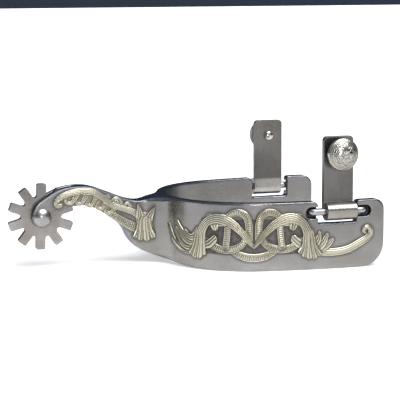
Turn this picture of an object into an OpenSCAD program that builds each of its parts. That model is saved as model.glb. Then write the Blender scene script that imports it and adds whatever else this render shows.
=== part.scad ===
// Western spur: a heel band with a swept shank, a ten-point rowel that spins on a riveted pin,
// two strap hangers that swing on wire staples, domed strap buttons and raised scroll overlays.
// +X runs from the rowel to the open (toe) end, +Z is up, the right side is -Y.
// The band stands on its flat lower edge at z = 0; lengths along X are first laid out from the
// rearmost point of the heel and then shifted so that the origin is below the middle of the part.

/* [Heel band] */
// Height of the band
band_h = 32.5; // [28:0.5:38]
// Thickness of the band
band_t = 4.7; // [3.6:0.1:6]
// Outer radius of the heel curve
heel_r = 46; // [42:0.5:50]
// Outer radius of each side, past the heel curve
side_r = 234; // [180:1:320]
// Sweep of the heel curve on each side of the middle
heel_sweep = 79.3; // [76:0.1:82]
// Length from the heel to the toe end
band_len = 98; // [94:0.5:106]
// Radius of the lower toe corner
toe_low_r = 11.5; // [6:0.5:14]
// Radius of the upper toe corner
toe_top_r = 5; // [3:0.5:7]

/* [Hanger notches] */
// Distance from the heel to the rear wall of the notch
notch_x = 64; // [62:0.5:66]
// Width of the notch
notch_w = 19.5; // [18:0.5:21]
// Depth of the notch below the upper edge
notch_depth = 10.5; // [10:0.5:12]

/* [Hangers] */
// Width of a hanger
hanger_w = 15.2; // [13:0.1:16]
// Thickness of the hanger strip
hanger_t = 2.35; // [2:0.05:2.5]
// Height of the hanger's top above the band's lower edge
hanger_top = 63; // [58:0.5:70]
// Diameter of the staple wire
wire_d = 3.4; // [2.8:0.1:3.5]
// Height of the hinge axis
hinge_z = 27.5; // [27:0.1:28]
// Sideways distance from the middle to the hinge axis
hinge_y = 48; // [47.8:0.1:48.2]
// How far the right hanger has slid towards the toe along its wire
right_slide = 1.5; // [-1.5:0.1:1.5]
// How far the left hanger has slid towards the toe along its wire
left_slide = -0.9; // [-1.5:0.1:1.5]

/* [Strap buttons] */
// Diameter of the button
button_d = 15.5; // [13:0.5:18]
// Height of the button's dome
button_dome = 3.6; // [2.5:0.1:5]
// Height of the button's centre
button_z = 54.9; // [52:0.1:56]
// Gap between the hanger and the button, for the strap
strap_gap = 4.8; // [4.4:0.1:6]

/* [Shank and rowel] */
// Thickness of the shank
shank_t = 9.5; // [8:0.5:12]
// Distance from the heel back to the rowel's centre
shank_reach = 59.4; // [59:0.1:60]
// Height of the rowel's centre
rowel_z = 24.8; // [24.4:0.1:25.2]
// Diameter of the rowel
rowel_d = 31.75; // [28:0.25:32]
// Thickness of the rowel
rowel_t = 3.2; // [2.5:0.1:3.4]
// Number of rowel points
rowel_points = 10; // [8:1:10]
// Diameter of the rowel pin
pin_d = 4; // [3:0.1:5]

/* [Overlays] */
// Thickness of the scroll overlays
overlay_t = 0.9; // [0.6:0.1:1.2]

/* [Hidden] */

$fn = 96;
big = 200;                     // longer than anything in the part
smooth_fn = 360;               // sides of the large plan arcs

steel = [0.56, 0.56, 0.57];
dark_steel = [0.42, 0.41, 0.39];
pale_silver = [0.82, 0.79, 0.69];
bright_silver = [0.88, 0.88, 0.85];

// Centre of the side arc on the left; the right one is its mirror image
side_cx = heel_r + (side_r - heel_r) * cos(heel_sweep);
side_cy = -(side_r - heel_r) * sin(heel_sweep);
heel_rise = 2;                 // how far the lower edge has risen at the heel
heel_rise_from = 18;           // distance from the heel where the lower edge starts to rise
heel_rise_r = (heel_rise_from ^ 2 + heel_rise ^ 2) / (2 * heel_rise);

// Hinge: the wire lies in a stadium-shaped recess and its ends turn into blind holes in the band
wire_r = wire_d / 2;
wire_bend_r = 2.6;             // centreline radius of the wire's corners
hinge_gap = 0.25;              // running clearance between the wire and the hanger's roll
arm_x = [60.6, 88.4];          // distances from the heel to the wire's two arms
arm_end = 45.2;                // sideways distance to the arms' ends, inside the band
recess_r = 2.75;
recess_z = 27.2;
recess_floor = hinge_y - wire_r - 0.1;
roll_in_r = wire_r + hinge_gap;
roll_out_r = roll_in_r + hanger_t;
notch_mid = notch_x + notch_w / 2;
hanger_corner = 2;
plate_in = hinge_y - roll_out_r;    // sideways distance to the plate's inner face
plate_out = hinge_y - roll_in_r;    // and to its outer face

// Buttons
rivet_d = 3.2;
rivet_in = 2.2;                // how far the rivet reaches into the button
stem_d = 6.4;
button_rim = 0.9;              // straight edge below the dome
button_under = plate_out + strap_gap;
stub_r = 2.3;                  // the rivet's inner end
stub_len = 1.3;
stub_dome = 0.8;

// Shank and rowel
slot_w = 4;                    // slot that the rowel turns in
slot_end = 42.3;               // distance from the heel to the slot's inner end
root_fillet = 11;              // plan radius where the shank flares into the band
root_bite = 0.05;              // keeps the flare's edges crossing instead of just touching
cheek_r = 5;                   // round end of the shank's cheeks
pin_head_r = 4.3;
pin_head_h = 2;
rowel_hub_r = 10.4;
tooth_w = 4.4;
tooth_round = 0.8;
gap_round = 0.95;
gap_centre_r = 10.7;
rowel_phase = 16;              // turn of the nearest point away from straight back
rowel_bore_gap = 0.08;
rowel_rear = (rowel_d / 2 - tooth_round) * cos(rowel_phase)
           + (tooth_w / 2 - tooth_round) * sin(rowel_phase) + tooth_round;

// Position of the heel in the part's frame: the origin is below the middle of the whole length
heel_x = (shank_reach + rowel_rear - band_len) / 2;

// ---- curves ----------------------------------------------------------------------------

// One stretch of a smooth curve from b to c, at 0 <= t < 1
function stretch(a, b, c, d, t) =
    0.5 * (2 * b + (c - a) * t + (2 * a - 5 * b + 4 * c - d) * t * t + (3 * b - a - 3 * c + d) * t * t * t);

// Smooth curve through all the points p, with n steps between neighbours
function smooth_path(p, n) = let (last = len(p) - 1)
    concat([for (i = [0:last - 1], j = [0:n - 1])
            stretch(p[max(i - 1, 0)], p[i], p[i + 1], p[min(i + 2, last)], j / n)], [p[last]]);

// Unit normal of the path q at its point i
function side_of(q, i) =
    let (a = q[max(i - 1, 0)], b = q[min(i + 1, len(q) - 1)], d = [b.x - a.x, b.y - a.y])
    [-d.y, d.x] / norm(d);

// The points p in the opposite order
function reverse(p) = [for (i = [len(p) - 1:-1:0]) p[i]];

// Closed outline of a ribbon along p, whose points are [along, up, width]
function ribbon_outline(p, n) = let (q = smooth_path(p, n), last = len(q) - 1)
    concat([for (i = [0:last]) [q[i].x, q[i].y] + side_of(q, i) * q[i].z / 2],
           [for (i = [last:-1:0]) [q[i].x, q[i].y] - side_of(q, i) * q[i].z / 2]);

// Distance s along the band's outer surface from the heel, as a distance along X
heel_arc = heel_r * heel_sweep * PI / 180;
function along_x(s) = s < heel_arc
    ? heel_r * (1 - cos(s / heel_r * 180 / PI))
    : side_cx - side_r * cos(heel_sweep + (s - heel_arc) / side_r * 180 / PI);

// ---- placing ---------------------------------------------------------------------------

// Shifts a shape laid out from the heel into the part's frame
module from_heel() {
    translate([heel_x, 0, 0]) children();
}

// The left-hand twin of a shape drawn for the right side
module left_side() {
    mirror([0, 1, 0]) children();
}

// Stands a profile drawn in X and Z upright and extends it by half_w to each side
module across(half_w) {
    rotate([90, 0, 0]) linear_extrude(2 * half_w, center = true) children();
}

// Turns a shape drawn along +Z so that it points outwards on the right side
module outwards(x, y, z) {
    translate([x, -y, z]) rotate([90, 0, 0]) children();
}

// What is cut off to round the corner at the origin of the quadrant x > 0, y > 0
module corner(r) {
    difference() {
        translate([-1, -1]) square(r + 1);
        translate([r, r]) circle(r);
    }
}

// Spherical cap of the given base radius and height, standing on z = 0
module dome(base_r, h) {
    ball_r = (base_r ^ 2 + h ^ 2) / (2 * h);
    rotate_extrude() intersection() {
        translate([0, h - ball_r]) circle(ball_r);
        square([base_r + 1, h + 1]);
    }
}

// ---- heel band -------------------------------------------------------------------------

// Plan of the space inside the band's outer surface, grown by d
module band_plan(d) {
    tangent_x = heel_r - (heel_r + d) * cos(heel_sweep);
    intersection() {
        translate([side_cx, side_cy]) circle(side_r + d, $fn = 2 * smooth_fn);
        translate([side_cx, -side_cy]) circle(side_r + d, $fn = 2 * smooth_fn);
        union() {
            translate([heel_r, 0]) circle(heel_r + d, $fn = smooth_fn);
            translate([tangent_x, -big / 2]) square([big, big]);
        }
    }
}

// Side view of the band
module band_side() {
    difference() {
        translate([-5, 0]) square([band_len + 5, band_h]);
        // lower edge rising towards the heel
        difference() {
            translate([-6, -1]) square([heel_rise_from + 6, heel_rise + 4]);
            translate([heel_rise_from, heel_rise_r]) circle(heel_rise_r, $fn = smooth_fn);
        }
        translate([band_len, 0]) mirror([1, 0]) corner(toe_low_r);
        translate([band_len, band_h]) rotate(180) corner(toe_top_r);
        // notch for the hanger's roll
        translate([notch_x, band_h - notch_depth]) difference() {
            square([notch_w, notch_depth + 1]);
            corner(1);
            translate([notch_w, 0]) mirror([1, 0]) corner(1);
        }
        translate([notch_x, band_h]) rotate(180) corner(2.4);
        translate([notch_x + notch_w, band_h]) rotate(-90) corner(1.6);
    }
}

// Long recess that the staple's wire lies in, on the right side
module wire_recess() {
    ends = [arm_x[0] - 0.6 + recess_r / 4, arm_x[1] + 0.6 - recess_r / 4];
    translate([0, -recess_floor, 0]) rotate([90, 0, 0]) linear_extrude(big / 4) {
        for (x = ends) translate([x, recess_z]) circle(recess_r);
        translate([ends[0], recess_z - recess_r]) square([ends[1] - ends[0], 2 * recess_r]);
    }
}

// Quarter bend of the staple's wire at arm x; s is the way from the arm to the middle
module wire_bend(x, s) {
    translate([x + s * wire_bend_r, -(hinge_y - wire_bend_r), hinge_z])
        rotate(s > 0 ? 180 : 270) rotate_extrude(angle = 90) translate([wire_bend_r, 0]) circle(wire_r);
}

// The staple's bends and its straight arms through the band, or the holes for them
module staple_arms() {
    wire_bend(arm_x[0], 1);
    wire_bend(arm_x[1], -1);
    for (x = arm_x)
        translate([x, -arm_end, hinge_z]) rotate([90, 0, 0])
            cylinder(r = wire_r, h = hinge_y - wire_bend_r - arm_end);
}

module heel_band() {
    color(steel) from_heel() difference() {
        intersection() {
            linear_extrude(band_h + 1) difference() {
                band_plan(0);
                band_plan(-band_t);
            }
            across(big / 2) band_side();
        }
        wire_recess();
        staple_arms();
        left_side() {
            wire_recess();
            staple_arms();
        }
    }
}

// ---- shank -----------------------------------------------------------------------------

// Upper and lower edges of the shank, from the rowel to the band
shank_top = [[-63.9, 28.2], [-62.3, 31], [-59.4, 33.3], [-54.5, 36.2], [-49, 38.3], [-42, 39.1],
             [-35, 38.4], [-26.3, 35.2], [-18, 31.9], [-11.5, 30.7], [-5, 31.9], [3, band_h]];
shank_bottom = [[-55.5, 22], [-54, 25], [-50, 28], [-43, 29.6], [-36, 29.2], [-29, 25.9],
                [-22.6, 21], [-19, 16.7], [-16.4, 11.7], [-12.5, 7.6], [-6.5, 4.6], [3, 1.5]];

// Side view of the shank, with a round end about the rowel's centre
module shank_side() {
    polygon(concat(smooth_path(shank_top, 5), reverse(smooth_path(shank_bottom, 5)),
                   [for (a = [-54:-12:-198]) [-shank_reach, rowel_z] + cheek_r * [cos(a), sin(a)]]));
}

// Plan of the shank with its flared root, each side grown by d
module shank_plan(d) {
    half = shank_t / 2 + d;
    fillet = root_fillet - d;
    fillet_y = shank_t / 2 + root_fillet - root_bite;
    reach = heel_r + root_fillet - root_bite;
    fillet_x = heel_r - sqrt(reach ^ 2 - fillet_y ^ 2);
    meet = [heel_r, 0] + [fillet_x - heel_r, fillet_y] * heel_r / reach;
    difference() {
        polygon([[-shank_reach - 10, -half], [fillet_x, -half], [fillet_x, -fillet_y],
                 [meet.x, -meet.y], [meet.x + 3, 0], [meet.x, meet.y],
                 [fillet_x, fillet_y], [fillet_x, half], [-shank_reach - 10, half]]);
        for (s = [-1, 1]) translate([fillet_x, s * fillet_y]) circle(fillet);
        translate([heel_r, 0]) circle(heel_r, $fn = smooth_fn);
    }
}

module shank() {
    color(steel) from_heel() difference() {
        intersection() {
            linear_extrude(big / 4) shank_plan(0);
            across(big / 4) shank_side();
        }
        // slot for the rowel, with a round inner end
        translate([-slot_end - slot_w / 2, 0, 0]) linear_extrude(big / 2, center = true) {
            circle(slot_w / 2);
            translate([-big, -slot_w / 2]) square([big, slot_w]);
        }
        translate([-shank_reach, 0, rowel_z]) rotate([90, 0, 0])
            cylinder(d = pin_d, h = 2 * shank_t, center = true);
    }
}

// ---- rowel -----------------------------------------------------------------------------

module rowel_tooth() {
    tip = rowel_d / 2;
    half = tooth_w / 2;
    translate([0, -half]) square([tip - tooth_round, tooth_w]);
    translate([0, -half + tooth_round]) square([tip, tooth_w - 2 * tooth_round]);
    for (s = [-1, 1]) translate([tip - tooth_round, s * (half - tooth_round)]) circle(tooth_round);
}

module rowel() {
    pitch = 360 / rowel_points;
    color(steel) from_heel() translate([-shank_reach, 0, rowel_z]) rotate([90, 0, 0])
        linear_extrude(rowel_t, center = true) difference() {
            union() {
                circle(rowel_hub_r);
                for (i = [0:rowel_points - 1]) rotate(180 + rowel_phase + i * pitch) rowel_tooth();
            }
            for (i = [0:rowel_points - 1])
                rotate(180 + rowel_phase + (i + 0.5) * pitch)
                    translate([gap_centre_r, 0]) circle(gap_round);
            circle(d = pin_d + 2 * rowel_bore_gap);
        }
}

module rowel_pin() {
    color(bright_silver) from_heel() {
        outwards(-shank_reach, 0, rowel_z) cylinder(d = pin_d, h = shank_t, center = true);
        outwards(-shank_reach, shank_t / 2, rowel_z) dome(pin_head_r, pin_head_h);
        left_side() outwards(-shank_reach, shank_t / 2, rowel_z) dome(pin_head_r, pin_head_h);
    }
}

// ---- overlays --------------------------------------------------------------------------

// Where the middle of the band's scrollwork lies, as a distance along the surface
knot_s = 59.3;

// One half of the middle knot; each list is one strand of [distance from the middle, up, width]
knot_strands = [
    // leaf that arches out from the middle and comes down to its foot
    [[0, 11.6, 1.4], [5, 18.4, 3], [9.8, 23, 3.6], [14.5, 25.6, 3.6], [19, 25.9, 3.4],
     [23.4, 23.2, 3.2], [26.3, 18, 3.6], [27.8, 12, 5], [27.4, 6.4, 8]],
    // ring that rises behind the leaf
    [[1.6, 13, 2.2], [1.6, 23, 2.6], [2.7, 27, 2.8], [5.6, 28.6, 2.6], [9, 28.6, 2.6], [12.4, 26.4, 2.6]],
    // upright strand through the leaf's eye
    [[12.4, 24, 2.8], [12.6, 18, 2.8], [13.1, 11.5, 2.8]],
    // lower ring
    [[3, 16.2, 2.4], [5.4, 13, 2.8], [9, 11, 3.2], [13, 10.3, 3.2], [17.4, 10.9, 3.2], [21.6, 13.6, 4.4],
     [26, 13.5, 3]],
    // arc below the middle
    [[-1, 6.6, 3.2], [5.4, 7.2, 3.2], [10, 9.6, 2.6]]
];

// Tails that run out from the two feet, given as distances from the heel
tail_strands = [
    // towards the heel, with two small leaves on it
    [[32, 9, 4], [27, 9, 5], [21, 9.6, 2.6], [16.4, 12, 2.6], [13.8, 16, 2.2], [12.6, 19.4, 1.4]],
    [[28, 10, 5], [24, 13, 5], [21, 17, 3], [19.2, 21, 1.2]],
    // towards the toe, ending in a curl
    [[86, 9.6, 6], [92, 8.4, 3], [98, 7.9, 2.8], [105, 8.7, 2.8], [110.4, 11.1, 2.9], [114.2, 13.8, 3],
     [116.3, 16.2, 3], [115.8, 18.6, 1.6]],
    [[89.5, 8, 3], [91.4, 12, 4], [93.4, 15, 5], [95, 17, 2]]
];

// Draws one strand on the band's side view
module band_strand(p) {
    polygon([for (v = ribbon_outline(p, 4)) [along_x(v.x), v.y]]);
}

module band_scroll() {
    union() {
        for (p = knot_strands, s = [-1, 1]) band_strand([for (v = p) [knot_s + s * v.x, v.y, v.z]]);
        for (p = tail_strands) band_strand(p);
    }
}

module band_overlay() {
    intersection() {
        linear_extrude(band_h) difference() {
            band_plan(overlay_t);
            band_plan(0);
        }
        rotate([90, 0, 0]) linear_extrude(big / 2) band_scroll();
    }
}

module band_overlay_right() {
    color(pale_silver) from_heel() band_overlay();
}

module band_overlay_left() {
    color(pale_silver) from_heel() left_side() band_overlay();
}

// Strands of the scroll on the shank's side, as [distance from the heel, up, width]
shank_strands = [
    // body of the leaf along the upper edge, starting in a curl over the rowel
    [[-49.6, 30.6, 1.6], [-52, 30, 2], [-53, 32.2, 2.2], [-50.4, 34.4, 3], [-46, 35.2, 4.2],
     [-40, 34.8, 6.4], [-34, 33.2, 7.6], [-28.6, 30.2, 5.4], [-25, 28, 3.4]],
    // round curl that stands on the rib, and the small one after it
    [[-25.4, 27, 1.5], [-26, 30.4, 1.5], [-23.6, 33, 1.5], [-20.8, 31.4, 1.5], [-21, 27, 1.5]],
    [[-19.3, 26, 1.1], [-19.3, 29, 1.1], [-17.7, 30.2, 1.1], [-16.2, 28.8, 1.1], [-16.3, 25.6, 1.1]],
    // rib above the eye and out to the fan's rear point
    [[-27, 28, 3.4], [-20, 27, 2.2], [-14.4, 25.4, 2.6], [-11, 23, 4.6], [-9, 19, 7.4], [-9.4, 14, 7.6]],
    // lower leaf
    [[-28, 27, 3], [-22.6, 23.6, 3.2], [-17, 20, 3.6], [-12, 17.4, 3]],
    // two points of the fan
    [[-10.6, 22, 4], [-7.6, 25, 2.4], [-5.4, 27, 1]],
    [[-11, 23, 4], [-12, 26, 2.4], [-12.4, 28.6, 1]]
];

module shank_scroll() {
    union() for (p = shank_strands) polygon(ribbon_outline(p, 4));
}

module shank_overlay() {
    intersection() {
        linear_extrude(big / 4) difference() {
            intersection() {
                shank_plan(overlay_t);
                translate([-shank_reach, -heel_r]) square([shank_reach - 2, heel_r]);
            }
            shank_plan(0);
        }
        rotate([90, 0, 0]) linear_extrude(big / 4) shank_scroll();
    }
}

module shank_overlay_right() {
    color(pale_silver) from_heel() shank_overlay();
}

module shank_overlay_left() {
    color(pale_silver) from_heel() left_side() shank_overlay();
}

// ---- hinges and hangers ----------------------------------------------------------------

module hinge_staple() {
    translate([arm_x[0] + wire_bend_r, -hinge_y, hinge_z]) rotate([0, 90, 0])
        cylinder(r = wire_r, h = arm_x[1] - arm_x[0] - 2 * wire_bend_r);
    staple_arms();
}

module hinge_staple_right() {
    color(bright_silver) from_heel() hinge_staple();
}

module hinge_staple_left() {
    color(bright_silver) from_heel() left_side() hinge_staple();
}

// Moves a hanger, or what is fixed to it, along its wire
module slid(d) {
    translate([d, 0, 0]) children();
}

module hanger() {
    difference() {
        translate([notch_mid - hanger_w / 2, -hinge_y, hinge_z]) rotate([90, 0, 90])
            linear_extrude(hanger_w) difference() {
                union() {
                    circle(roll_out_r);
                    translate([roll_in_r, 0]) square([hanger_t, hanger_top - hinge_z]);
                }
                circle(roll_in_r);
            }
        // rounded top corners
        translate([0, -hinge_y, 0]) across(10) translate([notch_mid, hanger_top]) {
            translate([-hanger_w / 2, 0]) rotate(-90) corner(hanger_corner);
            translate([hanger_w / 2, 0]) rotate(180) corner(hanger_corner);
        }
        outwards(notch_mid, plate_in - 1, button_z) cylinder(d = rivet_d, h = hanger_t + 2);
    }
}

module hanger_right() {
    color(dark_steel) from_heel() slid(right_slide) hanger();
}

module hanger_left() {
    color(dark_steel) from_heel() left_side() slid(left_slide) hanger();
}

// ---- strap buttons ---------------------------------------------------------------------

module button_stem() {
    outwards(notch_mid, plate_out, button_z) difference() {
        cylinder(d = stem_d, h = strap_gap);
        translate([0, 0, -1]) cylinder(d = rivet_d, h = strap_gap + 2);
    }
}

module button_stem_right() {
    color(dark_steel) from_heel() slid(right_slide) button_stem();
}

module button_stem_left() {
    color(dark_steel) from_heel() left_side() slid(left_slide) button_stem();
}

module button() {
    outwards(notch_mid, button_under, button_z) difference() {
        union() {
            cylinder(d = button_d, h = button_rim);
            translate([0, 0, button_rim]) dome(button_d / 2, button_dome);
        }
        translate([0, 0, -1]) cylinder(d = rivet_d, h = 1 + rivet_in);
    }
}

module button_right() {
    color(bright_silver) from_heel() slid(right_slide) button();
}

module button_left() {
    color(bright_silver) from_heel() left_side() slid(left_slide) button();
}

module button_rivet() {
    outwards(notch_mid, plate_in, button_z) {
        cylinder(d = rivet_d, h = hanger_t + strap_gap + rivet_in);
        mirror([0, 0, 1]) {
            cylinder(r = stub_r, h = stub_len);
            translate([0, 0, stub_len]) dome(stub_r, stub_dome);
        }
    }
}

module button_rivet_right() {
    color(bright_silver) from_heel() slid(right_slide) button_rivet();
}

module button_rivet_left() {
    color(bright_silver) from_heel() left_side() slid(left_slide) button_rivet();
}

heel_band();
shank();
rowel();
rowel_pin();
band_overlay_right();
band_overlay_left();
shank_overlay_right();
shank_overlay_left();
hinge_staple_right();
hinge_staple_left();
hanger_right();
hanger_left();
button_stem_right();
button_stem_left();
button_right();
button_left();
button_rivet_right();
button_rivet_left();
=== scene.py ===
"""Western spur: brushed steel band and shank, engraved silver scrolls, hangers, buttons and rowel.

Shapes are worked out in millimetres from the heel, with x forward from the heel's rearmost
point, y to the left and z up, and are put into the row's frame in metres by in_row().
"""
import math

import bmesh
import bpy
import numpy as np
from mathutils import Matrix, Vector


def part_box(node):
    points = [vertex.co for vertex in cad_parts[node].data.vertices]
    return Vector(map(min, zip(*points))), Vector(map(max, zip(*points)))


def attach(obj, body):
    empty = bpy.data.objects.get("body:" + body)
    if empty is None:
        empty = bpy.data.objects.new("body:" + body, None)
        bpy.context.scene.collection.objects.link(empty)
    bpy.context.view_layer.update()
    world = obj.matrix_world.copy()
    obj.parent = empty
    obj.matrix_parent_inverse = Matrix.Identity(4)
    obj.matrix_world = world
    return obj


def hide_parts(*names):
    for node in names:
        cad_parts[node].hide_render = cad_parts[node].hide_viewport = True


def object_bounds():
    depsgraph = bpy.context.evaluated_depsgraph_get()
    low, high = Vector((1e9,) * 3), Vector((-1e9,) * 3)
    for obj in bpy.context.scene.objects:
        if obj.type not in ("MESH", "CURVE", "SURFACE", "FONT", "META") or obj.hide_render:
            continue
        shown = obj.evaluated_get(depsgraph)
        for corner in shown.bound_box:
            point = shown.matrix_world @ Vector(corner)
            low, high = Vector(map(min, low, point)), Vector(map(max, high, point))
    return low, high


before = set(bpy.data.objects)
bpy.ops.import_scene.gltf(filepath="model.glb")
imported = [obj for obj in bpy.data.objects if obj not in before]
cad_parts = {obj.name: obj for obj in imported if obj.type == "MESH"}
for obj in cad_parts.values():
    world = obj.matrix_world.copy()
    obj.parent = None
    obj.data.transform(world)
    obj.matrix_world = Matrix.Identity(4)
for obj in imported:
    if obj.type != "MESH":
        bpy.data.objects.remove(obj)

MM = 0.001
cad_low, cad_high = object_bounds()

# ---- sizes ---------------------------------------------------------------------------------

band_low, band_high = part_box("heel_band")
HEEL_X = band_low.x
BAND_LEN = (band_high.x - band_low.x) / MM
BAND_H = band_high.z / MM
BAND_T = 4.7
HEEL_R, SIDE_R = 46.0, 234.0      # outer radii of the band, in plan
HEEL_SWEEP = math.radians(79.3)   # how far the heel's curve runs on each side
HEEL_ARC = HEEL_R * HEEL_SWEEP
SIDE_CX = HEEL_R + (SIDE_R - HEEL_R) * math.cos(HEEL_SWEEP)
SIDE_CY = -(SIDE_R - HEEL_R) * math.sin(HEEL_SWEEP)
TOE_LOW_R, TOE_TOP_R = 11.5, 5.0
NOTCH_X, NOTCH_W, NOTCH_DEPTH = 64.0, 19.5, 10.5
NOTCH_REAR_R, NOTCH_FRONT_R, NOTCH_LOW_R = 2.4, 1.6, 1.0
HEEL_RISE, HEEL_RISE_FROM = 2.0, 18.0

HINGE_Y, WIRE_R, WIRE_END = 48.0, 1.7, 45.2
RECESS_R, RECESS_Z, RECESS_X = 2.75, 27.2, (60.7, 88.3)
RECESS_FLOOR = HINGE_Y - WIRE_R - 0.1

SHANK_T, ROOT_FILLET = 9.5, 11.0
SLOT_W, SLOT_END = 4.0, 42.3
rowel_low, rowel_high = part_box("rowel")
ROWEL_X, ROWEL_Z = -59.4, (rowel_low.z + rowel_high.z) / 2 / MM
CHEEK_R = 5.0

SHANK_EDGE_R, BAND_EDGE_R, SLOT_EDGE_R, RECESS_EDGE_R = 0.9, 0.55, 0.6, 0.3
BODY_VOXEL = 0.5                  # spacing of the points on the band and shank
SCROLL_CELL = 0.17                # and on the scrollwork

SHANK_TOP = [(-63.9, 28.2), (-62.3, 31), (-59.4, 33.3), (-54.5, 36.2), (-49, 38.3), (-42, 39.1),
             (-35, 38.4), (-26.3, 35.2), (-18, 31.9), (-11.5, 30.7), (-5, 31.9), (3, 32.5)]
SHANK_BOTTOM = [(-55.5, 22), (-54, 25), (-50, 28), (-43, 29.6), (-36, 29.2), (-29, 25.9),
                (-22.6, 21), (-19, 16.7), (-16.4, 11.7), (-12.5, 7.6), (-6.5, 4.6), (3, 1.5)]


# ---- geometry helpers ----------------------------------------------------------------------

def in_row(points):
    """Points in millimetres from the heel, as metres in the row's frame."""
    return np.asarray(points, float) * MM + np.array([HEEL_X, 0.0, 0.0])


def smooth_path(points, steps):
    """Catmull-Rom curve through all the points, any number of columns."""
    p = np.asarray(points, float)
    padded = np.vstack([p[:1], p, p[-1:]])
    t = (np.arange(steps) / steps)[:, None]
    runs = []
    for a, b, c, d in zip(padded, padded[1:], padded[2:], padded[3:]):
        runs.append(0.5 * (2 * b + (c - a) * t + (2 * a - 5 * b + 4 * c - d) * t ** 2
                           + (3 * b - a - 3 * c + d) * t ** 3))
    return np.vstack(runs + [p[-1:]])


def arc(cx, cz, r, start, stop, steps=8):
    """Points on a circle from one angle to another, in degrees."""
    a = np.radians(np.linspace(start, stop, steps + 1))
    return np.column_stack([cx + r * np.cos(a), cz + r * np.sin(a)])


def make_mesh(name, vertices, faces, smooth=True):
    """A mesh object from vertices in millimetres from the heel."""
    mesh = bpy.data.meshes.new(name)
    mesh.from_pydata(in_row(vertices).tolist(), [], [list(map(int, f)) for f in faces])
    mesh.update()
    mesh.polygons.foreach_set("use_smooth", [smooth] * len(mesh.polygons))
    obj = bpy.data.objects.new(name, mesh)
    bpy.context.scene.collection.objects.link(obj)
    return obj


# ---- the band and shank as one smooth solid ------------------------------------------------

def outside_band(x, y):
    """Distance outwards from the band's outer surface, in plan."""
    y = np.abs(y)
    on_heel = np.arctan2(y, HEEL_R - x) <= HEEL_SWEEP
    return np.where(on_heel, np.hypot(x - HEEL_R, y) - HEEL_R,
                    np.hypot(x - SIDE_CX, y - SIDE_CY) - SIDE_R)


def along_band(x, y):
    """Distance along the band's outer face from the heel."""
    y = np.abs(y)
    turn = np.arctan2(y, HEEL_R - x)
    flank = HEEL_ARC + SIDE_R * (np.arctan2(y - SIDE_CY, SIDE_CX - x) - HEEL_SWEEP)
    return np.where(turn <= HEEL_SWEEP, HEEL_R * turn, flank)


def round_join(a, b, r):
    """Union of two distance fields with a fillet of radius r."""
    return np.maximum(r, np.minimum(a, b)) - np.hypot(np.maximum(r - a, 0), np.maximum(r - b, 0))


def round_meet(a, b, r):
    """Intersection of two distance fields with its edge rounded to radius r."""
    return np.minimum(-r, np.maximum(a, b)) + np.hypot(np.maximum(r + a, 0), np.maximum(r + b, 0))


def plan_field(x, y):
    """Distance outwards from the band and shank together, in plan."""
    joined = round_join(outside_band(x, y), np.abs(y) - SHANK_T / 2, ROOT_FILLET)
    return np.maximum(joined, -(outside_band(x, y) + BAND_T))


def side_outline():
    """Closed outline of the shank and band, seen from the side."""
    top, low = BAND_H, BAND_H - NOTCH_DEPTH
    front = NOTCH_X + NOTCH_W
    rise_r = (HEEL_RISE_FROM ** 2 + HEEL_RISE ** 2) / (2 * HEEL_RISE)
    rise = math.degrees(math.asin((HEEL_RISE_FROM - 4) / rise_r))
    return np.vstack([
        smooth_path(SHANK_TOP, 6),
        arc(NOTCH_X - NOTCH_REAR_R, top - NOTCH_REAR_R, NOTCH_REAR_R, 90, 0),
        arc(NOTCH_X + NOTCH_LOW_R, low + NOTCH_LOW_R, NOTCH_LOW_R, 180, 270, 4),
        arc(front - NOTCH_LOW_R, low + NOTCH_LOW_R, NOTCH_LOW_R, 270, 360, 4),
        arc(front + NOTCH_FRONT_R, top - NOTCH_FRONT_R, NOTCH_FRONT_R, 180, 90),
        arc(BAND_LEN - TOE_TOP_R, top - TOE_TOP_R, TOE_TOP_R, 90, 0),
        arc(BAND_LEN - TOE_LOW_R, TOE_LOW_R, TOE_LOW_R, 0, -90, 14),
        arc(HEEL_RISE_FROM, rise_r, rise_r, -90, -90 - rise),
        smooth_path(SHANK_BOTTOM, 6)[::-1],
        arc(ROWEL_X, ROWEL_Z, CHEEK_R, -54, -198, 14),
    ])


def polygon_field(px, pz, outline):
    """Signed distance to a closed outline, below zero inside."""
    ax, az = outline[:, 0], outline[:, 1]
    bx, bz = np.roll(ax, -1), np.roll(az, -1)
    out = np.empty(len(px))
    for i in range(0, len(px), 20000):
        x, z = px[i:i + 20000, None], pz[i:i + 20000, None]
        ex, ez, wx, wz = bx - ax, bz - az, x - ax, z - az
        t = np.clip((wx * ex + wz * ez) / (ex * ex + ez * ez + 1e-12), 0, 1)
        nearest = ((wx - ex * t) ** 2 + (wz - ez * t) ** 2).min(1)
        crosses = ((az <= z) != (bz <= z)) & (wx * ez * np.sign(ez) < wz * ex * np.sign(ez))
        out[i:i + 20000] = np.sqrt(nearest) * np.where(crosses.sum(1) % 2 == 1, -1, 1)
    return out


def in_stadium(x, z):
    """Distance outwards from the wire recess's outline, seen from the side."""
    return np.hypot(x - np.clip(x, *RECESS_X), z - RECESS_Z) - RECESS_R


def body_field(p, outline):
    """Distance field of the band and shank, with rounded edges, a rowel slot and wire recesses."""
    x, y, z = p.T
    edge = np.where(x < 0, SHANK_EDGE_R, BAND_EDGE_R)
    solid = round_meet(plan_field(x, y), polygon_field(x, z, outline), edge)
    past_slot = np.maximum(x + SLOT_END + SLOT_W / 2, 0)
    slot = np.hypot(past_slot, y) - SLOT_W / 2
    solid = round_meet(solid, -slot, SLOT_EDGE_R)
    recess = np.maximum(in_stadium(x, z), RECESS_FLOOR - np.abs(y))
    return round_meet(solid, -recess, RECESS_EDGE_R)


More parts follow.
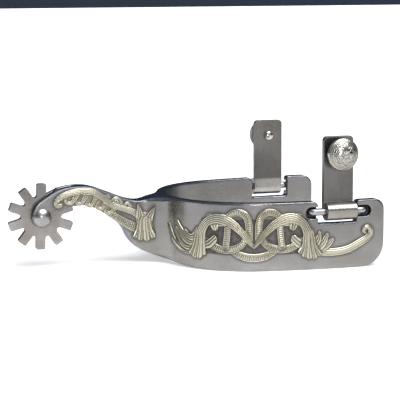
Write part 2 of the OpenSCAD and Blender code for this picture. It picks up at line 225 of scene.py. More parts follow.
def settle(p, field, rounds=4, step=0.02):
    """Moves points along a distance field's slope until they lie on its surface."""
    for _ in range(rounds):
        value = field(p)
        slope = np.column_stack([(field(p + step * axis) - value) / step for axis in np.eye(3)])
        size = np.maximum((slope ** 2).sum(1), 0.2)
        p = p - np.clip(value / size, -0.4, 0.4)[:, None] * slope
    return p


def patina_and_shade_at(p):
    """How dark the steel is: patina round the scrollwork, deepest inside the knot's loops, and painted
    shade in the wire recesses and on the band's inner face near the heel.
    """
    x, y, z = p.T
    patina_and_shade = np.zeros(len(p))
    on_face = np.flatnonzero((np.abs(outside_band(x, y)) < 0.4) & (np.abs(y) > 9))
    s = along_band(x[on_face], y[on_face])
    gap = -relief(np.column_stack([s, z[on_face]]), band_strands())[0]
    in_knot = (np.abs(s - KNOT_S) < 26) & (z[on_face] > 8) & (z[on_face] < 25)
    spread = np.where(in_knot, 3.4, 0.9)
    patina_and_shade[on_face] = np.where(in_knot, 0.9, 0.65) * np.exp(-(np.maximum(gap, 0) / spread) ** 2)
    under_face = outside_band(x, y)
    in_recess = (in_stadium(x, z) < 0.1) & (np.abs(y) > 40)
    # painted shade: the wire recesses are painted fully dark
    patina_and_shade[in_recess & (under_face < -0.2) & (under_face > -3)] = 1.0
    # painted shade on the band's inner face, darkest at the heel
    inside = np.flatnonzero((under_face < 0.3 - BAND_T) & (x > 0))
    patina_and_shade[inside] = 0.42 * np.exp(-(x[inside] / 34) ** 2)
    on_side = np.flatnonzero((x < -4) & (np.abs(plan_field(x, y)) < 0.4))
    gap = -relief(np.column_stack([x[on_side], z[on_side]]), SHANK_STRANDS)[0]
    patina_and_shade[on_side] = 0.65 * np.exp(-(np.maximum(gap, 0) / 1.2) ** 2)
    return patina_and_shade


def close_wire_holes(mesh):
    """Lifts the bottoms of the wire's blind holes to the recess floor; the wire fills them anyway."""
    for v in mesh.verts:
        x, y, z = (v.co.x - HEEL_X) / MM, abs(v.co.y) / MM, v.co.z / MM
        if in_stadium(x, z) < 0 and WIRE_END - 0.1 < y < RECESS_FLOOR + 0.1:
            v.co.y = math.copysign(RECESS_FLOOR * MM, v.co.y)


def forged_body():
    """One mesh for band and shank: the CAD solids joined, remeshed evenly and settled on the field.

    Its vertex attributes say where patina and painted shade darken the steel, and where a dark blue
    reflection is painted on its upward faces.
    """
    joined = bmesh.new()
    for node in ("heel_band", "shank"):
        joined.from_mesh(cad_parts[node].data)
    close_wire_holes(joined)
    mesh = bpy.data.meshes.new("band_and_shank")
    joined.to_mesh(mesh)
    joined.free()
    obj = bpy.data.objects.new("band_and_shank", mesh)
    bpy.context.scene.collection.objects.link(obj)
    remesh = obj.modifiers.new("even", "REMESH")
    remesh.mode = "VOXEL"
    remesh.voxel_size = BODY_VOXEL * MM
    graph = bpy.context.evaluated_depsgraph_get()
    even = bpy.data.meshes.new_from_object(obj.evaluated_get(graph))
    obj.modifiers.clear()
    obj.data = even
    bpy.data.meshes.remove(mesh)
    co = np.empty(len(even.vertices) * 3, np.float32)
    even.vertices.foreach_get("co", co)
    p = (co.reshape(-1, 3).astype(float) - np.array([HEEL_X, 0, 0])) / MM
    outline = side_outline()
    p = settle(p, lambda q: body_field(q, outline))
    even.vertices.foreach_set("co", in_row(p).astype(np.float32).ravel())
    even.polygons.foreach_set("use_smooth", [True] * len(even.polygons))
    even.update()
    patina_and_shade = even.attributes.new("patina_and_shade", "FLOAT", "POINT")
    patina_and_shade.data.foreach_set("value", patina_and_shade_at(p).astype(np.float32))
    normals = np.empty(len(p) * 3, np.float32)
    even.vertices.foreach_get("normal", normals)
    # painted reflection: upward faces of the band and shank get a dark blue, as from a dark sky above
    on_top = np.clip((normals[2::3] - 0.3) / 0.5, 0, 1) * (p[:, 0] < 96)
    painted_sky_reflection = even.attributes.new("painted_sky_reflection", "FLOAT", "POINT")
    painted_sky_reflection.data.foreach_set("value", (0.75 * on_top).astype(np.float32))
    return obj


# ---- engraved overlays ---------------------------------------------------------------------

OVERLAY_T = 0.9
RIM_HEIGHT, RIM_CUT, FOOT_DEPTH = 0.32, 0.12, 0.15   # at the scrollwork's outline
KNOT_S = 59.3                                        # the knot's middle, along the band from the heel


def fan(start, width, waist, tips, tip_width):
    """Flutes that spread from a narrow start, through a waist height, to rounded tips."""
    count = len(tips)
    middle = (count - 1) / 2
    flutes = []
    for i, (u, z) in enumerate(tips):
        top = start[0] + (i - middle) * width / count
        flutes.append(("flute", [(top, start[1], 1.3 * width / count),
                                 (top + 0.38 * (u - top), waist, 1.6 * width / count),
                                 (u, z, tip_width)]))
    return sorted(flutes, key=lambda flute: -abs(flute[1][-1][0] - start[0]))


# Strands are (style, [(distance along, z, width), ...]), listed from the lowest to the uppermost.
# The knot's half is measured from its middle, and the rest of the band's from the heel.
KNOT_HALF = [
    ("rope", [(22.4, 13.8, 3.8), (17.4, 10.9, 3.7), (13, 10.3, 3.7), (9, 11, 3.7), (5.6, 13, 3.4),
              (3.6, 16.4, 3)]),
    ("rope", [(12.2, 24, 3.2), (12.6, 18, 3.2), (13.3, 11.6, 3.2)]),
    ("rope", [(1.5, 13.4, 2), (2.1, 18, 3.4), (2.3, 22, 3.7), (3.2, 25.8, 3.7), (6, 28, 3.6),
              (9.4, 28, 3.5), (12.8, 26, 3)]),
    ("lobe", [(24.6, 12.4, 4), (22, 13, 4.6), (19.4, 15.2, 4)]),
    ("plain", [(11.6, 23.6, 3.2), (16, 23.2, 3.6), (19.6, 24, 4)]),
    ("lobe", [(21.2, 25.4, 4), (19.4, 23.4, 4.6), (18.6, 20.9, 3.4)]),
    ("leaf", [(0, 11.6, 1.4), (2.6, 15, 2.8), (5, 18.1, 3.4), (9.8, 22.5, 4.2), (14.5, 24.8, 4.8),
              (19, 25.2, 4.6), (23.2, 23, 4.2), (25.6, 19, 4.6), (26.4, 15.6, 5.6)]),
]

BAND_REAR = [
    ("tail", [(30, 10, 4.2), (26, 8.9, 4.2), (21, 9.5, 3.8), (16.2, 12.2, 3.4), (13.4, 16, 3.1),
              (11.8, 19.2, 3)]),
    ("lobe", [(31, 13.6, 4.4), (26.4, 10.9, 4.2), (22.6, 12, 3.8), (20, 15.4, 3.4), (17.8, 19, 1)]),
    ("lobe", [(31.6, 16, 4), (27.6, 13.4, 4), (23.8, 14.8, 3.8), (20.8, 18.4, 3), (19, 22.4, 0.7)]),
    ("lobe", [(31.8, 19, 3.6), (29.4, 16, 3.8), (26.4, 15.8, 3.4), (23.8, 18.2, 1.6)]),
    ("plain", [(32.8, 17, 4.4), (32, 12, 6), (31.2, 9.8, 6.4)]),
] + fan((32.9, 19), 4.6, 12.4, [(27.9, 8), (29.9, 6.8), (32.4, 6.8), (34.6, 8.4)], 2.9)
BAND_FRONT = [
    ("tail", [(86, 9.8, 4), (92, 8.5, 3.9), (98, 8.1, 3.8), (105, 9, 3.8), (110.2, 11.3, 3.8),
              (114.6, 13.7, 3.6), (117, 16.2, 3), (116.6, 18.7, 2.5), (114.7, 19.2, 2.3),
              (113.4, 17.8, 2.1), (114.2, 16.7, 1.4)]),
    ("plain", [(88, 10.4, 5), (91.6, 11.6, 5.4), (94.6, 12, 4)]),
    ("lobe", [(90.6, 9.6, 4), (94.6, 11.6, 3.6), (97.2, 14, 2.2)]),
    ("lobe", [(89.6, 9.8, 4.4), (92.8, 13, 3.8), (94.6, 16.6, 2)]),
    ("lobe", [(87.8, 10.6, 4.4), (90, 14.2, 3.6), (91, 17.6, 1.9)]),
    ("plain", [(85, 17, 4.4), (85.6, 12, 7.4), (86.2, 9.8, 8.6)]),
] + fan((85.5, 19), 4.8, 12.4, [(81.6, 9.4), (83.6, 7.6), (86, 6.6), (88.5, 6.7), (90.7, 8)], 2.9)
ARC_BELOW = [(-10.8, 10.2, 2.8), (-5.6, 7.5, 3.8), (0, 6.6, 4), (5.6, 7.5, 3.8), (10.8, 10.2, 2.8)]


def band_strands():
    """All strands on the band; the knot's two leaves go over everything else."""
    arc_below = ("rope", [(KNOT_S + m, z, w) for m, z, w in ARC_BELOW])
    knot = [(style, [(KNOT_S + side * m, z, w) for m, z, w in points])
            for style, points in KNOT_HALF for side in (-1, 1)]
    return [arc_below] + knot[:-2] + BAND_REAR + BAND_FRONT + knot[-2:]


def hooks(places):
    """Small curled leaves, each hanging from (x, top) down to a low point and hooked back up."""
    return [("lobe", [(x + 1.4, top, 3.4), (x + 0.2, (top + low) / 2, 2.6), (x - 1.6, low, 2.1),
                      (x - 3.6, low + 0.5, 1.8), (x - 4.2, low + 2.2, 1.5), (x - 3.2, low + 3.2, 1.2)])
            for x, top, low in places]


SHANK_STRANDS = [
    ("rope", [(-28, 26.6, 3), (-22.6, 23, 3.6), (-17, 19.4, 4.4), (-12, 16.8, 4.6)]),
    ("lobe", [(-26, 26.8, 2), (-26.2, 30, 2.1), (-23.8, 32.4, 2.2), (-21.1, 31.2, 2),
              (-21.6, 28, 1.9)]),
    ("lobe", [(-19.7, 26.6, 1.8), (-19.3, 28.9, 1.8), (-17.7, 29.9, 1.8), (-16.2, 28.5, 1.8),
              (-16.4, 26, 1.8)]),
    # a low backing strand under the hooks, darkened throughout as painted shade
    ("sunk", [(-50, 34, 3), (-46, 34.2, 4.6), (-40, 33.6, 6), (-34, 32, 6.8), (-28.6, 29.4, 5.6),
              (-25, 27.6, 3.8)]),
] + hooks([(-24.8, 30.2, 25.6), (-29.2, 33, 27.9), (-34.2, 34.8, 29.7), (-39.2, 35.6, 30.8),
           (-44.2, 35.2, 31.2)]) + [
    ("leaf", [(-50.4, 30.4, 1.8), (-52.2, 30.1, 2.1), (-52.9, 32, 2.4), (-50.6, 34.3, 2.9), (-46, 36, 3.2),
              (-40, 36.8, 3.3), (-34, 35.8, 3.3), (-29.6, 33, 3.1), (-26, 29.6, 3), (-20, 27.3, 3),
              (-14.4, 25.2, 3.4), (-11, 22.4, 3.8)]),
    ("plain", [(-9.6, 23.6, 3.4), (-9.4, 20, 7), (-9.6, 15.8, 8.8)]),
    ("lobe", [(-8.2, 18, 4), (-6.8, 23.4, 3.6), (-4.6, 27.4, 0.8)]),
    ("lobe", [(-11.4, 18, 4), (-11.6, 24.4, 3.8), (-12.6, 28.8, 0.8)]),
] + fan((-9.8, 21.6), 6, 17, [(-13.8, 14), (-11.3, 12.6), (-8.3, 12.2), (-5.7, 13.6)], 3)

# Engraved lines of each style: offsets across the strand from -1 to 1, and their half-width
VEINS = {
    "leaf": ((-0.6, -0.2, 0.2, 0.6), 0.085),
    "rope": ((-0.64, 0.64), 0.09),
    "tail": ((-0.5, 0.55), 0.1),
    "lobe": ((-0.28, 0.34), 0.13),
    "flute": ((0.0,), 0.16),
    "plain": ((), 0.1),
    "sunk": ((), 0.1),
}
ROPE_PITCH = 1.0
LEAF_FADE = 4.0     # length over which a leaf's end sinks into what lies below it


def along_strand(q, path):
    """For points q: depth inside the strand's edge, length along it and offset from -1 to 1."""
    a, b = path[:-1], path[1:]
    run = b[:, :2] - a[:, :2]
    length = np.hypot(run[:, 0], run[:, 1]) + 1e-9
    start = np.concatenate([[0], np.cumsum(length)[:-1]])
    rel = q[:, None, :] - a[None, :, :2]
    t = np.clip((rel * run).sum(2) / length ** 2, 0, 1)
    half = (a[:, 2] + t * (b[:, 2] - a[:, 2])) / 2
    depth = half - np.hypot(rel[..., 0] - t * run[:, 0], rel[..., 1] - t * run[:, 1])
    rows, k = np.arange(len(q)), depth.argmax(1)
    cross = run[k, 0] * rel[rows, k, 1] - run[k, 1] * rel[rows, k, 0]
    offset = cross / length[k] / half[rows, k]
    return depth[rows, k], start[k] + t[rows, k] * length[k], np.clip(offset, -1, 1)


def relief(q, strands, reach=3.0):
    """Scrollwork at points q: depth inside its outline, height, and how dark it is from engraving and
    painted shadow.

    The strands go one over another, and each leaves a shallow groove in those beside it, with a painted
    shadow along it.
    """
    depth = np.full(len(q), -reach)
    height = np.zeros(len(q))
    cut = np.zeros(len(q))
    for style, points in strands:
        path = smooth_path(points, 5)
        low, high = path[:, :2].min(0) - reach - 3, path[:, :2].max(0) + reach + 3
        near = np.flatnonzero(((q > low) & (q < high)).all(1))
        if not len(near):
            continue
        inside, length, across = along_strand(q[near], path)
        # painted shadow: beside an upper strand's edge a lower strand is darkened, as well as sunk a little
        shadow = np.exp(-(np.minimum(inside, 0) / 0.4) ** 2)
        if style == "leaf":
            left = np.hypot(*np.diff(path[:, :2], axis=0).T).sum() - length
            firm = np.clip(left / LEAF_FADE, 0, 1)
        else:
            firm = np.ones(len(near))
        cut[near] = np.where(inside <= 0, np.maximum(cut[near], 0.95 * shadow * firm), cut[near])
        height[near] -= np.where(inside <= 0, 0.22 * shadow * firm, 0)
        lines, width = VEINS[style]
        groove = sum((np.exp(-((across - v) / width) ** 2) for v in lines), np.zeros(len(near)))
        if style == "rope":
            hatch = 0.5 - 0.5 * np.cos(2 * np.pi * length / ROPE_PITCH)
            groove = np.maximum(groove, 0.9 * hatch * (np.abs(across) < 0.5))
        top = 0.4 + 0.5 * np.sqrt(1 - 0.94 * across ** 2) - 0.3 * groove
        top *= np.clip(0.5 + inside / 0.4, 0, 1)
        # painted shade: a sunk strand is lowered and darkened all over
        if style == "sunk":
            top, groove = top * 0.45, groove + 0.8
        over = inside > 0
        on, firm = near[over], np.maximum(firm[over], depth[near][over] <= 0)
        height[on] += firm * (top[over] - height[on])
        cut[on] += firm * (0.85 * np.clip(groove[over], 0, 1) - cut[on])
        depth[near] = np.maximum(depth[near], inside)
    return depth, np.clip(height, 0.08, OVERLAY_T), cut


def relief_sheet(name, strands, low, high, lay):
    """Mesh of engraved scrollwork; lay turns (u, z, height) into points of the real surface."""
    columns = [np.arange(a, b, SCROLL_CELL) for a, b in zip(low, high)]
    u, z = np.meshgrid(*columns, indexing="ij")
    q = np.column_stack([u.ravel(), z.ravel()])
    depth, _, _ = relief(q, strands)
    n_u, n_z = u.shape
    index = np.arange(n_u * n_z).reshape(n_u, n_z)
    quads = np.stack([index[:-1, :-1], index[1:, :-1], index[1:, 1:], index[:-1, 1:]], -1)
    quads = quads.reshape(-1, 4)
    quads = quads[depth[quads].mean(1) > 0]
    # the outline's corners are moved onto it, so that it runs smoothly
    sides = np.concatenate([quads[:, [i, (i + 1) % 4]] for i in range(4)])
    keys = sides.min(1).astype(np.int64) * len(q) + sides.max(1)
    _, first, count = np.unique(keys, return_index=True, return_counts=True)
    rim = sides[first[count == 1]]
    rim_points = np.unique(rim)
    for _ in range(3):
        p = q[rim_points]
        value = relief(p, strands)[0]
        slope = np.column_stack([(relief(p + step, strands)[0] - value) / 0.02
                                 for step in ((0.02, 0), (0, 0.02))])
        move = value[:, None] * slope / np.maximum((slope ** 2).sum(1), 0.3)[:, None]
        q[rim_points] = p - np.clip(move, -0.6 * SCROLL_CELL, 0.6 * SCROLL_CELL)
    used, faces = np.unique(quads, return_inverse=True)
    faces = faces.reshape(-1, 4)
    _, height, cut = relief(q[used], strands)
    on_rim = np.isin(used, rim_points)
    height[on_rim] = RIM_HEIGHT
    cut[on_rim] = RIM_CUT
    place = {old: new for new, old in enumerate(used)}
    foot_of = {old: len(used) + i for i, old in enumerate(rim_points)}
    walls = [(place[b], place[a], foot_of[a], foot_of[b]) for a, b in rim]
    top = lay(q[used], height)
    foot = lay(q[rim_points], np.full(len(rim_points), -FOOT_DEPTH))
    obj = make_mesh(name, np.vstack([top, foot]), faces.tolist() + walls)
    layer = obj.data.attributes.new("cut", "FLOAT", "POINT")
    layer.data.foreach_set("value", np.concatenate([cut, np.ones(len(foot))]).astype(np.float32))
    return obj


def lay_on_band(side):
    """Puts (s, z, height) on the band's outer face; side is -1 for the right and 1 for the left."""
    def lay(q, height):
        s, z = q.T
        on_heel = s < HEEL_ARC
        turn = np.where(on_heel, s / HEEL_R, HEEL_SWEEP + (s - HEEL_ARC) / SIDE_R)
        r = np.where(on_heel, HEEL_R, SIDE_R) + height
        x = np.where(on_heel, HEEL_R, SIDE_CX) - r * np.cos(turn)
        y = np.where(on_heel, 0, SIDE_CY) + r * np.sin(turn)
        return np.column_stack([x, side * y, z])
    return lay


def lay_on_shank(side):
    """Puts (x, z, height) on the shank's side, which flares out where it meets the band."""
    def lay(q, height):
        x, z = q.T
        y = np.full(len(x), SHANK_T / 2) + height
        for _ in range(12):
            value = plan_field(x, y) - height
            slope = (plan_field(x, y + 0.01) - height - value) / 0.01
            y = y - np.clip(value / np.maximum(slope, 0.25), -1.5, 1.5)
        return np.column_stack([x, side * y, z])
    return lay


# ---- materials -----------------------------------------------------------------------------

EDGE_TINT = (0.42, 0.46, 0.54, 1)   # steel seen at a grazing angle


class Shader:
    """A Principled material and short ways to add nodes to it."""

    def __init__(self, name, colour, metallic, roughness):
        self.material = bpy.data.materials.new(name)
        self.material.use_nodes = True
        self.tree = self.material.node_tree
        self.main = self.tree.nodes["Principled BSDF"]
        self.main.inputs["Base Color"].default_value = (*colour, 1)
        self.main.inputs["Metallic"].default_value = metallic
        self.main.inputs["Roughness"].default_value = roughness
        if metallic:
            self.main.inputs["Specular Tint"].default_value = EDGE_TINT
        self.coords = self.tree.nodes.new("ShaderNodeTexCoord")

    def node(self, kind, **values):
        made = self.tree.nodes.new("ShaderNode" + kind)
        for key, value in values.items():
            if hasattr(made, key):
                setattr(made, key, value)
            else:
                made.inputs[key].default_value = value
        return made

    def link(self, source, target):
        self.tree.links.new(source, target)

    def noise(self, stretch, detail=3.0, roughness=0.6):
        """Noise in object space; stretch is the number of features per metre along X, Y and Z."""
        mapping = self.node("Mapping")
        mapping.inputs["Scale"].default_value = stretch
        self.link(self.coords.outputs["Object"], mapping.inputs["Vector"])
        noise = self.node("TexNoise", Scale=1.0, Detail=detail, Roughness=roughness)
        self.link(mapping.outputs[0], noise.inputs["Vector"])
        return noise.outputs["Fac"]

    def ramp(self, source, stops):
        """Colour ramp from (position, colour or grey value) pairs."""
        ramp = self.node("ValToRGB")
        while len(ramp.color_ramp.elements) < len(stops):
            ramp.color_ramp.elements.new(0.5)
        for element, (position, value) in zip(ramp.color_ramp.elements, stops):
            element.position = position
            element.color = (*value, 1) if hasattr(value, "__len__") else (value, value, value, 1)
        self.link(source, ramp.inputs["Fac"])
        return ramp.outputs["Color"]

    def mix(self, kind, factor, a, b):
        """Mixes two colours; factor, a and b may be sockets or values."""
        mix = self.node("Mix", data_type="RGBA", blend_type=kind)
        for socket, value in ((mix.inputs[0], factor), (mix.inputs[6], a), (mix.inputs[7], b)):
            if isinstance(value, bpy.types.NodeSocket):
                self.link(value, socket)
            else:
                socket.default_value = value
        return mix.outputs[2]

    def recolour(self, kind, factor, colour):
        """Mixes a colour into the base colour that is already linked."""
        base = self.main.inputs["Base Color"]
        self.link(self.mix(kind, factor, base.links[0].from_socket, colour), base)

    def bump(self, height, strength, distance):
        bump = self.node("Bump", Strength=strength, Distance=distance)
        self.link(height, bump.inputs["Height"])
        self.link(bump.outputs[0], self.main.inputs["Normal"])


def brushed_metal(name, colour, grain, roughness=0.34, spread=0.08, depth=0.00003, patches=0.12,
                  patina_and_shade=None, patina_and_shade_colour=(0.05, 0.04, 0.03)):
    """Metal with fine parallel brush lines; grain is features per metre along X, Y and Z.

    The optional vertex attribute named here says where the metal darkens, with patina and with painted
    shade.
    """
    s = Shader(name, colour, 1.0, roughness)
    lines = s.noise(grain, 4.0, 0.7)
    clouds = s.noise((60, 60, 60), 3.0, 0.55)
    dark = tuple(c * (1 - patches) * k for c, k in zip(colour, (1.03, 0.99, 0.95)))
    light = tuple(min(1, c * (1 + patches) * k) for c, k in zip(colour, (0.99, 1.0, 1.03)))
    tone = s.ramp(clouds, [(0.3, dark), (0.7, light)])
    streak = s.ramp(lines, [(0.25, 0.82), (0.75, 1.0)])
    colour_out = s.mix("MULTIPLY", 1.0, tone, streak)
    rough = s.ramp(s.mix("MIX", 0.35, lines, clouds),
                   [(0.3, roughness - spread), (0.7, roughness + spread)])
    if patina_and_shade:
        amount = s.node("Attribute", attribute_name=patina_and_shade).outputs["Fac"]
        specks = s.ramp(s.noise((700, 700, 700), 4.0, 0.7), [(0.3, 0.7), (0.65, 1.0)])
        amount = s.mix("MULTIPLY", 1.0, amount, specks)
        colour_out = s.mix("MIX", amount, colour_out, (*patina_and_shade_colour, 1))
        rough = s.mix("MIX", amount, rough, (0.6, 0.6, 0.6, 1))
    s.link(colour_out, s.main.inputs["Base Color"])
    s.link(rough, s.main.inputs["Roughness"])
    s.bump(lines, 0.5, depth)
    return s


def tint_where(metal, attribute, colour):
    """Mixes a colour into a metal by the amount that a vertex attribute gives."""
    amount = metal.node("Attribute", attribute_name=attribute).outputs["Fac"]
    metal.recolour("MIX", amount, (*colour, 1))


def shade_by_height(metal, stops):
    """Multiplies a metal's colour by factors given at heights in metres of the row's frame."""
    split = metal.node("SeparateXYZ")
    metal.link(metal.coords.outputs["Object"], split.inputs[0])
    place = metal.node("MapRange")
    place.inputs["From Max"].default_value = cad_high.z
    metal.link(split.outputs["Z"], place.inputs["Value"])
    stops = [(height / cad_high.z, factor) for height, factor in stops]
    metal.recolour("MULTIPLY", 1.0, metal.ramp(place.outputs[0], stops))


ALONG = (60, 60, 3500)       # brush lines that run level round the band
UPRIGHT = (3500, 3500, 60)   # brush lines that run up the hangers
LEVEL = (500, 500, 2600)     # coarser level lines on the rowel
DRAWN = (60, 2500, 2500)     # lines along the wire
FINE = (1500, 1500, 1500)

BAND_STEEL = brushed_metal("band_steel", (0.315, 0.307, 0.291), ALONG, 0.25, patches=0.16,
                           patina_and_shade="patina_and_shade", patina_and_shade_colour=(0.055, 0.046, 0.04))
HANGER_STEEL = brushed_metal("hanger_steel", (0.43, 0.41, 0.378), UPRIGHT, 0.28, patches=0.2)
# painted light and shade: the hanger's rolled hinge is kept bright and its tab darkened above it, less so
# towards the top
shade_by_height(HANGER_STEEL, [(0.0312, 0.92), (0.0324, 0.36), (0.045, 0.44), (0.056, 0.56)])
# painted shade: the band is darkened towards its top and kept lighter low down, as the floor and sky
# reflect in it
shade_by_height(BAND_STEEL, [(0.0, 1.02), (0.010, 1.0), (0.026, 0.84), (0.034, 0.9)])
# painted reflection: dark blue on the band's upward faces
tint_where(BAND_STEEL, "painted_sky_reflection", (0.09, 0.125, 0.19))
ROWEL_STEEL = brushed_metal("rowel_steel", (0.33, 0.31, 0.29), LEVEL, 0.3, patches=0.3, depth=0.00006)
shade_by_height(ROWEL_STEEL, [(0.010, 1.25), (0.024, 1.1), (0.036, 0.85)])
PIN_STEEL = brushed_metal("pin_steel", (0.44, 0.44, 0.44), FINE, 0.3, patches=0.2)
WIRE_STEEL = brushed_metal("wire_steel", (0.46, 0.46, 0.46), DRAWN, 0.3, 0.06, patches=0.2)
OVERLAY_SILVER = brushed_metal("overlay_silver", (0.565, 0.537, 0.425), FINE, 0.2, patches=0.2, patina_and_shade="cut",
                               patina_and_shade_colour=(0.07, 0.055, 0.035))
BUTTON_SILVER = brushed_metal("button_silver", (0.56, 0.545, 0.475), FINE, 0.16, patina_and_shade="cut",
                              patina_and_shade_colour=(0.08, 0.07, 0.055))


def dress(obj, shader):
    """Gives an object a shader's material and no other."""
    obj.data.materials.clear()
    obj.data.materials.append(shader.material)


# ---- pieces --------------------------------------------------------------------------------

def piece(obj, body, nodes, metal):
    """Gives a piece its metal, the body that it moves with and the CAD nodes that it stands for."""
    dress(obj, metal)
    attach(obj, body)
    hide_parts(*nodes)


def softened(node, name, width, angle=35):
    """Copy of a CAD node's mesh with its sharp edges rounded over by width."""
    work = bmesh.new()
    work.from_mesh(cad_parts[node].data)
    bmesh.ops.remove_doubles(work, verts=work.verts, dist=0.002 * MM)
    bmesh.ops.dissolve_limit(work, angle_limit=math.radians(1), verts=work.verts, edges=work.edges)
    mesh = bpy.data.meshes.new(name)
    work.to_mesh(mesh)
    work.free()
    obj = bpy.data.objects.new(name, mesh)
    bpy.context.scene.collection.objects.link(obj)
    bevel = obj.modifiers.new("edges", "BEVEL")
    bevel.width = width * MM
    bevel.segments = 3
    bevel.limit_method = "ANGLE"
    bevel.angle_limit = math.radians(angle)
    mesh.polygons.foreach_set("use_smooth", [True] * len(mesh.polygons))
    weigh = obj.modifiers.new("flat_faces", "WEIGHTED_NORMAL")
    weigh.weight = 90
    graph = bpy.context.evaluated_depsgraph_get()
    obj.data = bpy.data.meshes.new_from_object(obj.evaluated_get(graph))
    obj.modifiers.clear()
    return obj


BUTTON_R, BUTTON_RIM, BUTTON_DOME = 7.75, 0.9, 3.6
BUTTON_EDGE_R, BUTTON_CUT = 0.3, 0.16    # rounding of the rim, and depth of the engraving
BUTTON_TURNS = 264                       # points round the button
RIVET_R = 1.6


def button_cut(r, turn):
    """Engraving on a button: a flower with eight petals inside a ring of fine strokes."""
    petal = np.abs(np.sin(4 * turn + 0.35 * np.sin(r)))
    edge = 5.3 - 1.7 * petal ** 1.6
    outline = np.exp(-((r - edge) / 0.28) ** 2)
    rib = np.exp(-(petal / 0.13) ** 2) * ((r > 2) & (r < 5.2))
    inner = np.exp(-(((r - 1.75 - 0.3 * np.cos(8 * turn)) / 0.22) ** 2))
    from_curl = np.hypot(r - 5.15, r * np.abs(np.sin(4 * turn)) / 4 - 1.0)
    curls = 0.8 * np.exp(-((from_curl - 0.55) / 0.2) ** 2)
    ring = np.exp(-((r - 6.35) / 0.16) ** 2)
    strokes = (0.5 - 0.5 * np.cos(44 * turn)) * ((r > 6.5) & (r < 7.3)) * 0.8
    return np.clip(np.maximum.reduce([outline, rib, inner, curls, ring, strokes]), 0, 1)


def strap_button(name, side):
    """Domed, engraved button on a polar grid, with a rounded rim and a flat back."""
    low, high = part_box("button_" + name.split("_")[-1])
    middle_x, middle_z = ((low.x + high.x) / 2 - HEEL_X) / MM, (low.z + high.z) / 2 / MM
    under = min(abs(low.y), abs(high.y)) / MM
    sphere_r = (BUTTON_R ** 2 + BUTTON_DOME ** 2) / (2 * BUTTON_DOME)
    flat_r = BUTTON_R - BUTTON_EDGE_R
    rounded = flat_r + BUTTON_EDGE_R * np.sin(np.linspace(0.25, 1.57, 5))
    radii = np.concatenate([[0.02], np.linspace(0.15, flat_r, 68), rounded])
    turns = np.linspace(0, 2 * np.pi, BUTTON_TURNS, endpoint=False)
    r, turn = np.meshgrid(radii, turns, indexing="ij")
    cut = button_cut(r, turn)
    rise = np.sqrt(sphere_r ** 2 - r ** 2) - (sphere_r - BUTTON_DOME)
    past_flat = np.maximum(r - flat_r, 0) / BUTTON_EDGE_R
    rounding = BUTTON_EDGE_R * (1 - np.sqrt(np.clip(1 - past_flat ** 2, 0, 1)))
    rise = BUTTON_RIM + np.maximum(rise - BUTTON_CUT * cut, 0) - rounding
    # below the dome: the rim's lower edge, the back's edge and the back's hole, as (radius, rise, cut);
    # their cut darkens the button's back with painted shade
    rings = [(r, rise, cut)]
    for ring in ((radii[-1], 0.12, 0.4), (radii[-1] - 0.12, 0, 0.5), (RIVET_R, 0, 0.3)):
        rings.append([np.full((1, BUTTON_TURNS), float(value)) for value in ring])
    r, rise, cut = (np.vstack(part) for part in zip(*rings))
    turn = np.broadcast_to(turns, r.shape)
    points = np.stack([middle_x + r * np.cos(turn), side * (under + rise),
                       middle_z + r * np.sin(turn)], -1)
    n_rings, n = r.shape
    grid = np.arange(n_rings * n).reshape(n_rings, n)
    after = np.roll(grid, -1, axis=1)
    faces = np.stack([grid[:-1], grid[1:], after[1:], after[:-1]], -1).reshape(-1, 4)
    obj = make_mesh(name, points.reshape(-1, 3), faces if side < 0 else faces[:, ::-1])
    layer = obj.data.attributes.new("cut", "FLOAT", "POINT")
    layer.data.foreach_set("value", (0.85 * cut).ravel().astype(np.float32))
    return obj


piece(forged_body(), "spur_frame", ["heel_band", "shank"], BAND_STEEL)
piece(softened("rowel", "star_wheel", 0.3), "rowel", ["rowel"], ROWEL_STEEL)
piece(softened("rowel_pin", "wheel_pin", 0.2), "spur_frame", ["rowel_pin"],
      PIN_STEEL)
for side, sign in (("right", -1), ("left", 1)):
    hanger = "hanger_" + side
    scroll = relief_sheet("scroll_band_" + side, band_strands(), (9, 4), (119.5, 31), lay_on_band(sign))
    piece(scroll, "spur_frame", ["band_overlay_" + side], OVERLAY_SILVER)
    scroll = relief_sheet("scroll_shank_" + side, SHANK_STRANDS, (-56, 9), (-3, 39.5), lay_on_shank(sign))
    piece(scroll, "spur_frame", ["shank_overlay_" + side], OVERLAY_SILVER)
    piece(softened("hinge_staple_" + side, "wire_loop_" + side, 0.2), "spur_frame",
          ["hinge_staple_" + side], WIRE_STEEL)
    piece(softened(hanger, "strap_tab_" + side, 0.35), hanger, [hanger], HANGER_STEEL)
    piece(softened("button_stem_" + side, "neck_" + side, 0.2), hanger,
          ["button_stem_" + side], HANGER_STEEL)
    piece(strap_button("flower_button_" + side, sign), hanger, ["button_" + side],
          BUTTON_SILVER)
    piece(softened("button_rivet_" + side, "rivet_" + side, 0.2), hanger,
          ["button_rivet_" + side], BUTTON_SILVER)


# ---- studio --------------------------------------------------------------------------------

def plane(name, size):
    """A level square about the origin."""
    half = size / 2
    mesh = bpy.data.meshes.new(name)
    corners = [(-half, -half, 0), (half, -half, 0), (half, half, 0), (-half, half, 0)]
    mesh.from_pydata(corners, [], [(0, 1, 2, 3)])
    obj = bpy.data.objects.new(name, mesh)
    bpy.context.scene.collection.objects.link(obj)
    return obj


def soft_light(name, place, aim, width, height, power):
    """A rectangular area light at place that points at aim, all in metres."""
    data = bpy.data.lights.new(name, "AREA")
    data.shape = "RECTANGLE"
    data.size, data.size_y = width, height
    data.energy = power
    obj = bpy.data.objects.new(name, data)
    obj.location = place
    obj.rotation_euler = (Vector(aim) - Vector(place)).to_track_quat("-Z", "Y").to_euler()
    bpy.context.scene.collection.objects.link(obj)
    return obj


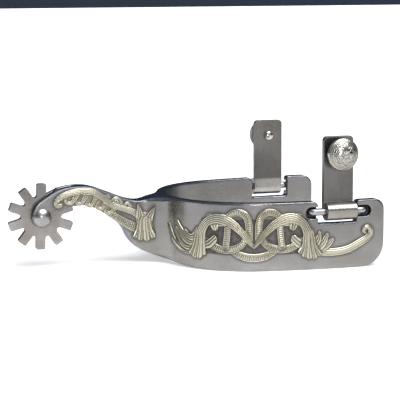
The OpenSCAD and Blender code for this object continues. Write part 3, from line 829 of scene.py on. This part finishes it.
# The floor turns grey in front of the spur, so that the steel has something darker to reflect,
# and glows faintly behind it, which softens the shadow
floor = plane("floor", 16.0)
white = Shader("floor_white", (0.86, 0.86, 0.86), 0.0, 0.9)
white.main.inputs["Specular IOR Level"].default_value = 0.1
across = white.node("SeparateXYZ")
white.link(white.coords.outputs["Object"], across.inputs[0])
for socket, start, stop, values in (("Base Color", -0.6, -0.25, (0.12, 0.86)),
                                    ("Emission Color", -0.12, 0.0, (0.12, 0.4))):
    fade = white.node("MapRange", interpolation_type="SMOOTHSTEP")
    fade.inputs["From Min"].default_value, fade.inputs["From Max"].default_value = start, stop
    white.link(across.outputs["Y"], fade.inputs["Value"])
    white.link(white.ramp(fade.outputs[0], list(enumerate(values))), white.main.inputs[socket])
white.main.inputs["Emission Strength"].default_value = 1.0
dress(floor, white)

world = bpy.data.worlds.new("studio")
bpy.context.scene.world = world
world.use_nodes = True
nodes, links = world.node_tree.nodes, world.node_tree.links
coords = nodes.new("ShaderNodeTexCoord")
split = nodes.new("ShaderNodeSeparateXYZ")
sky = nodes.new("ShaderNodeValToRGB")
links.new(coords.outputs["Generated"], split.inputs[0])
links.new(split.outputs["Z"], sky.inputs["Fac"])
links.new(sky.outputs["Color"], nodes["Background"].inputs["Color"])
for element, position, colour in zip(sky.color_ramp.elements, (0.05, 0.7),
                                     ((0.03, 0.04, 0.06, 1), (0.34, 0.36, 0.40, 1))):
    element.position, element.color = position, colour

sun = bpy.data.lights.new("overhead", "SUN")
sun.energy = 3.2
sun.angle = math.radians(50)
overhead = bpy.data.objects.new("overhead", sun)
overhead.rotation_euler = (math.radians(26), math.radians(12), 0)
bpy.context.scene.collection.objects.link(overhead)

centre = (cad_low + cad_high) / 2
soft_light("key", (-0.19, -1.3, 0.24), centre, 0.26, 0.42, 2.6)
soft_light("toe_fill", (0.55, -1.2, 0.14), centre, 0.5, 0.2, 0.6)
bpy.context.scene.view_settings.view_transform = "Standard"

# The camera looks from behind and to the right of the spur, a little from above
CAMERA_AZIMUTH, CAMERA_ELEVATION, CAMERA_ROLL = -17.63, 8.3, -0.3
CAMERA_DISTANCE = 0.731
CAMERA_TARGET = Vector((HEEL_X + 0.02073, 0, 0.0288))
azimuth, elevation = math.radians(CAMERA_AZIMUTH), math.radians(CAMERA_ELEVATION)
back = Vector((math.sin(azimuth) * math.cos(elevation), -math.cos(azimuth) * math.cos(elevation),
               math.sin(elevation)))
camera_data = bpy.data.cameras.new("camera")
camera_data.sensor_width = 36
camera_data.lens = 132.9
camera_data.clip_start, camera_data.clip_end = 0.01, 100
camera = bpy.data.objects.new("camera", camera_data)
camera.location = CAMERA_TARGET + back * CAMERA_DISTANCE
look = (-back).to_track_quat("-Z", "Y").to_euler()
look.rotate_axis("Z", math.radians(CAMERA_ROLL))
camera.rotation_euler = look
bpy.context.scene.collection.objects.link(camera)
bpy.context.scene.camera = camera
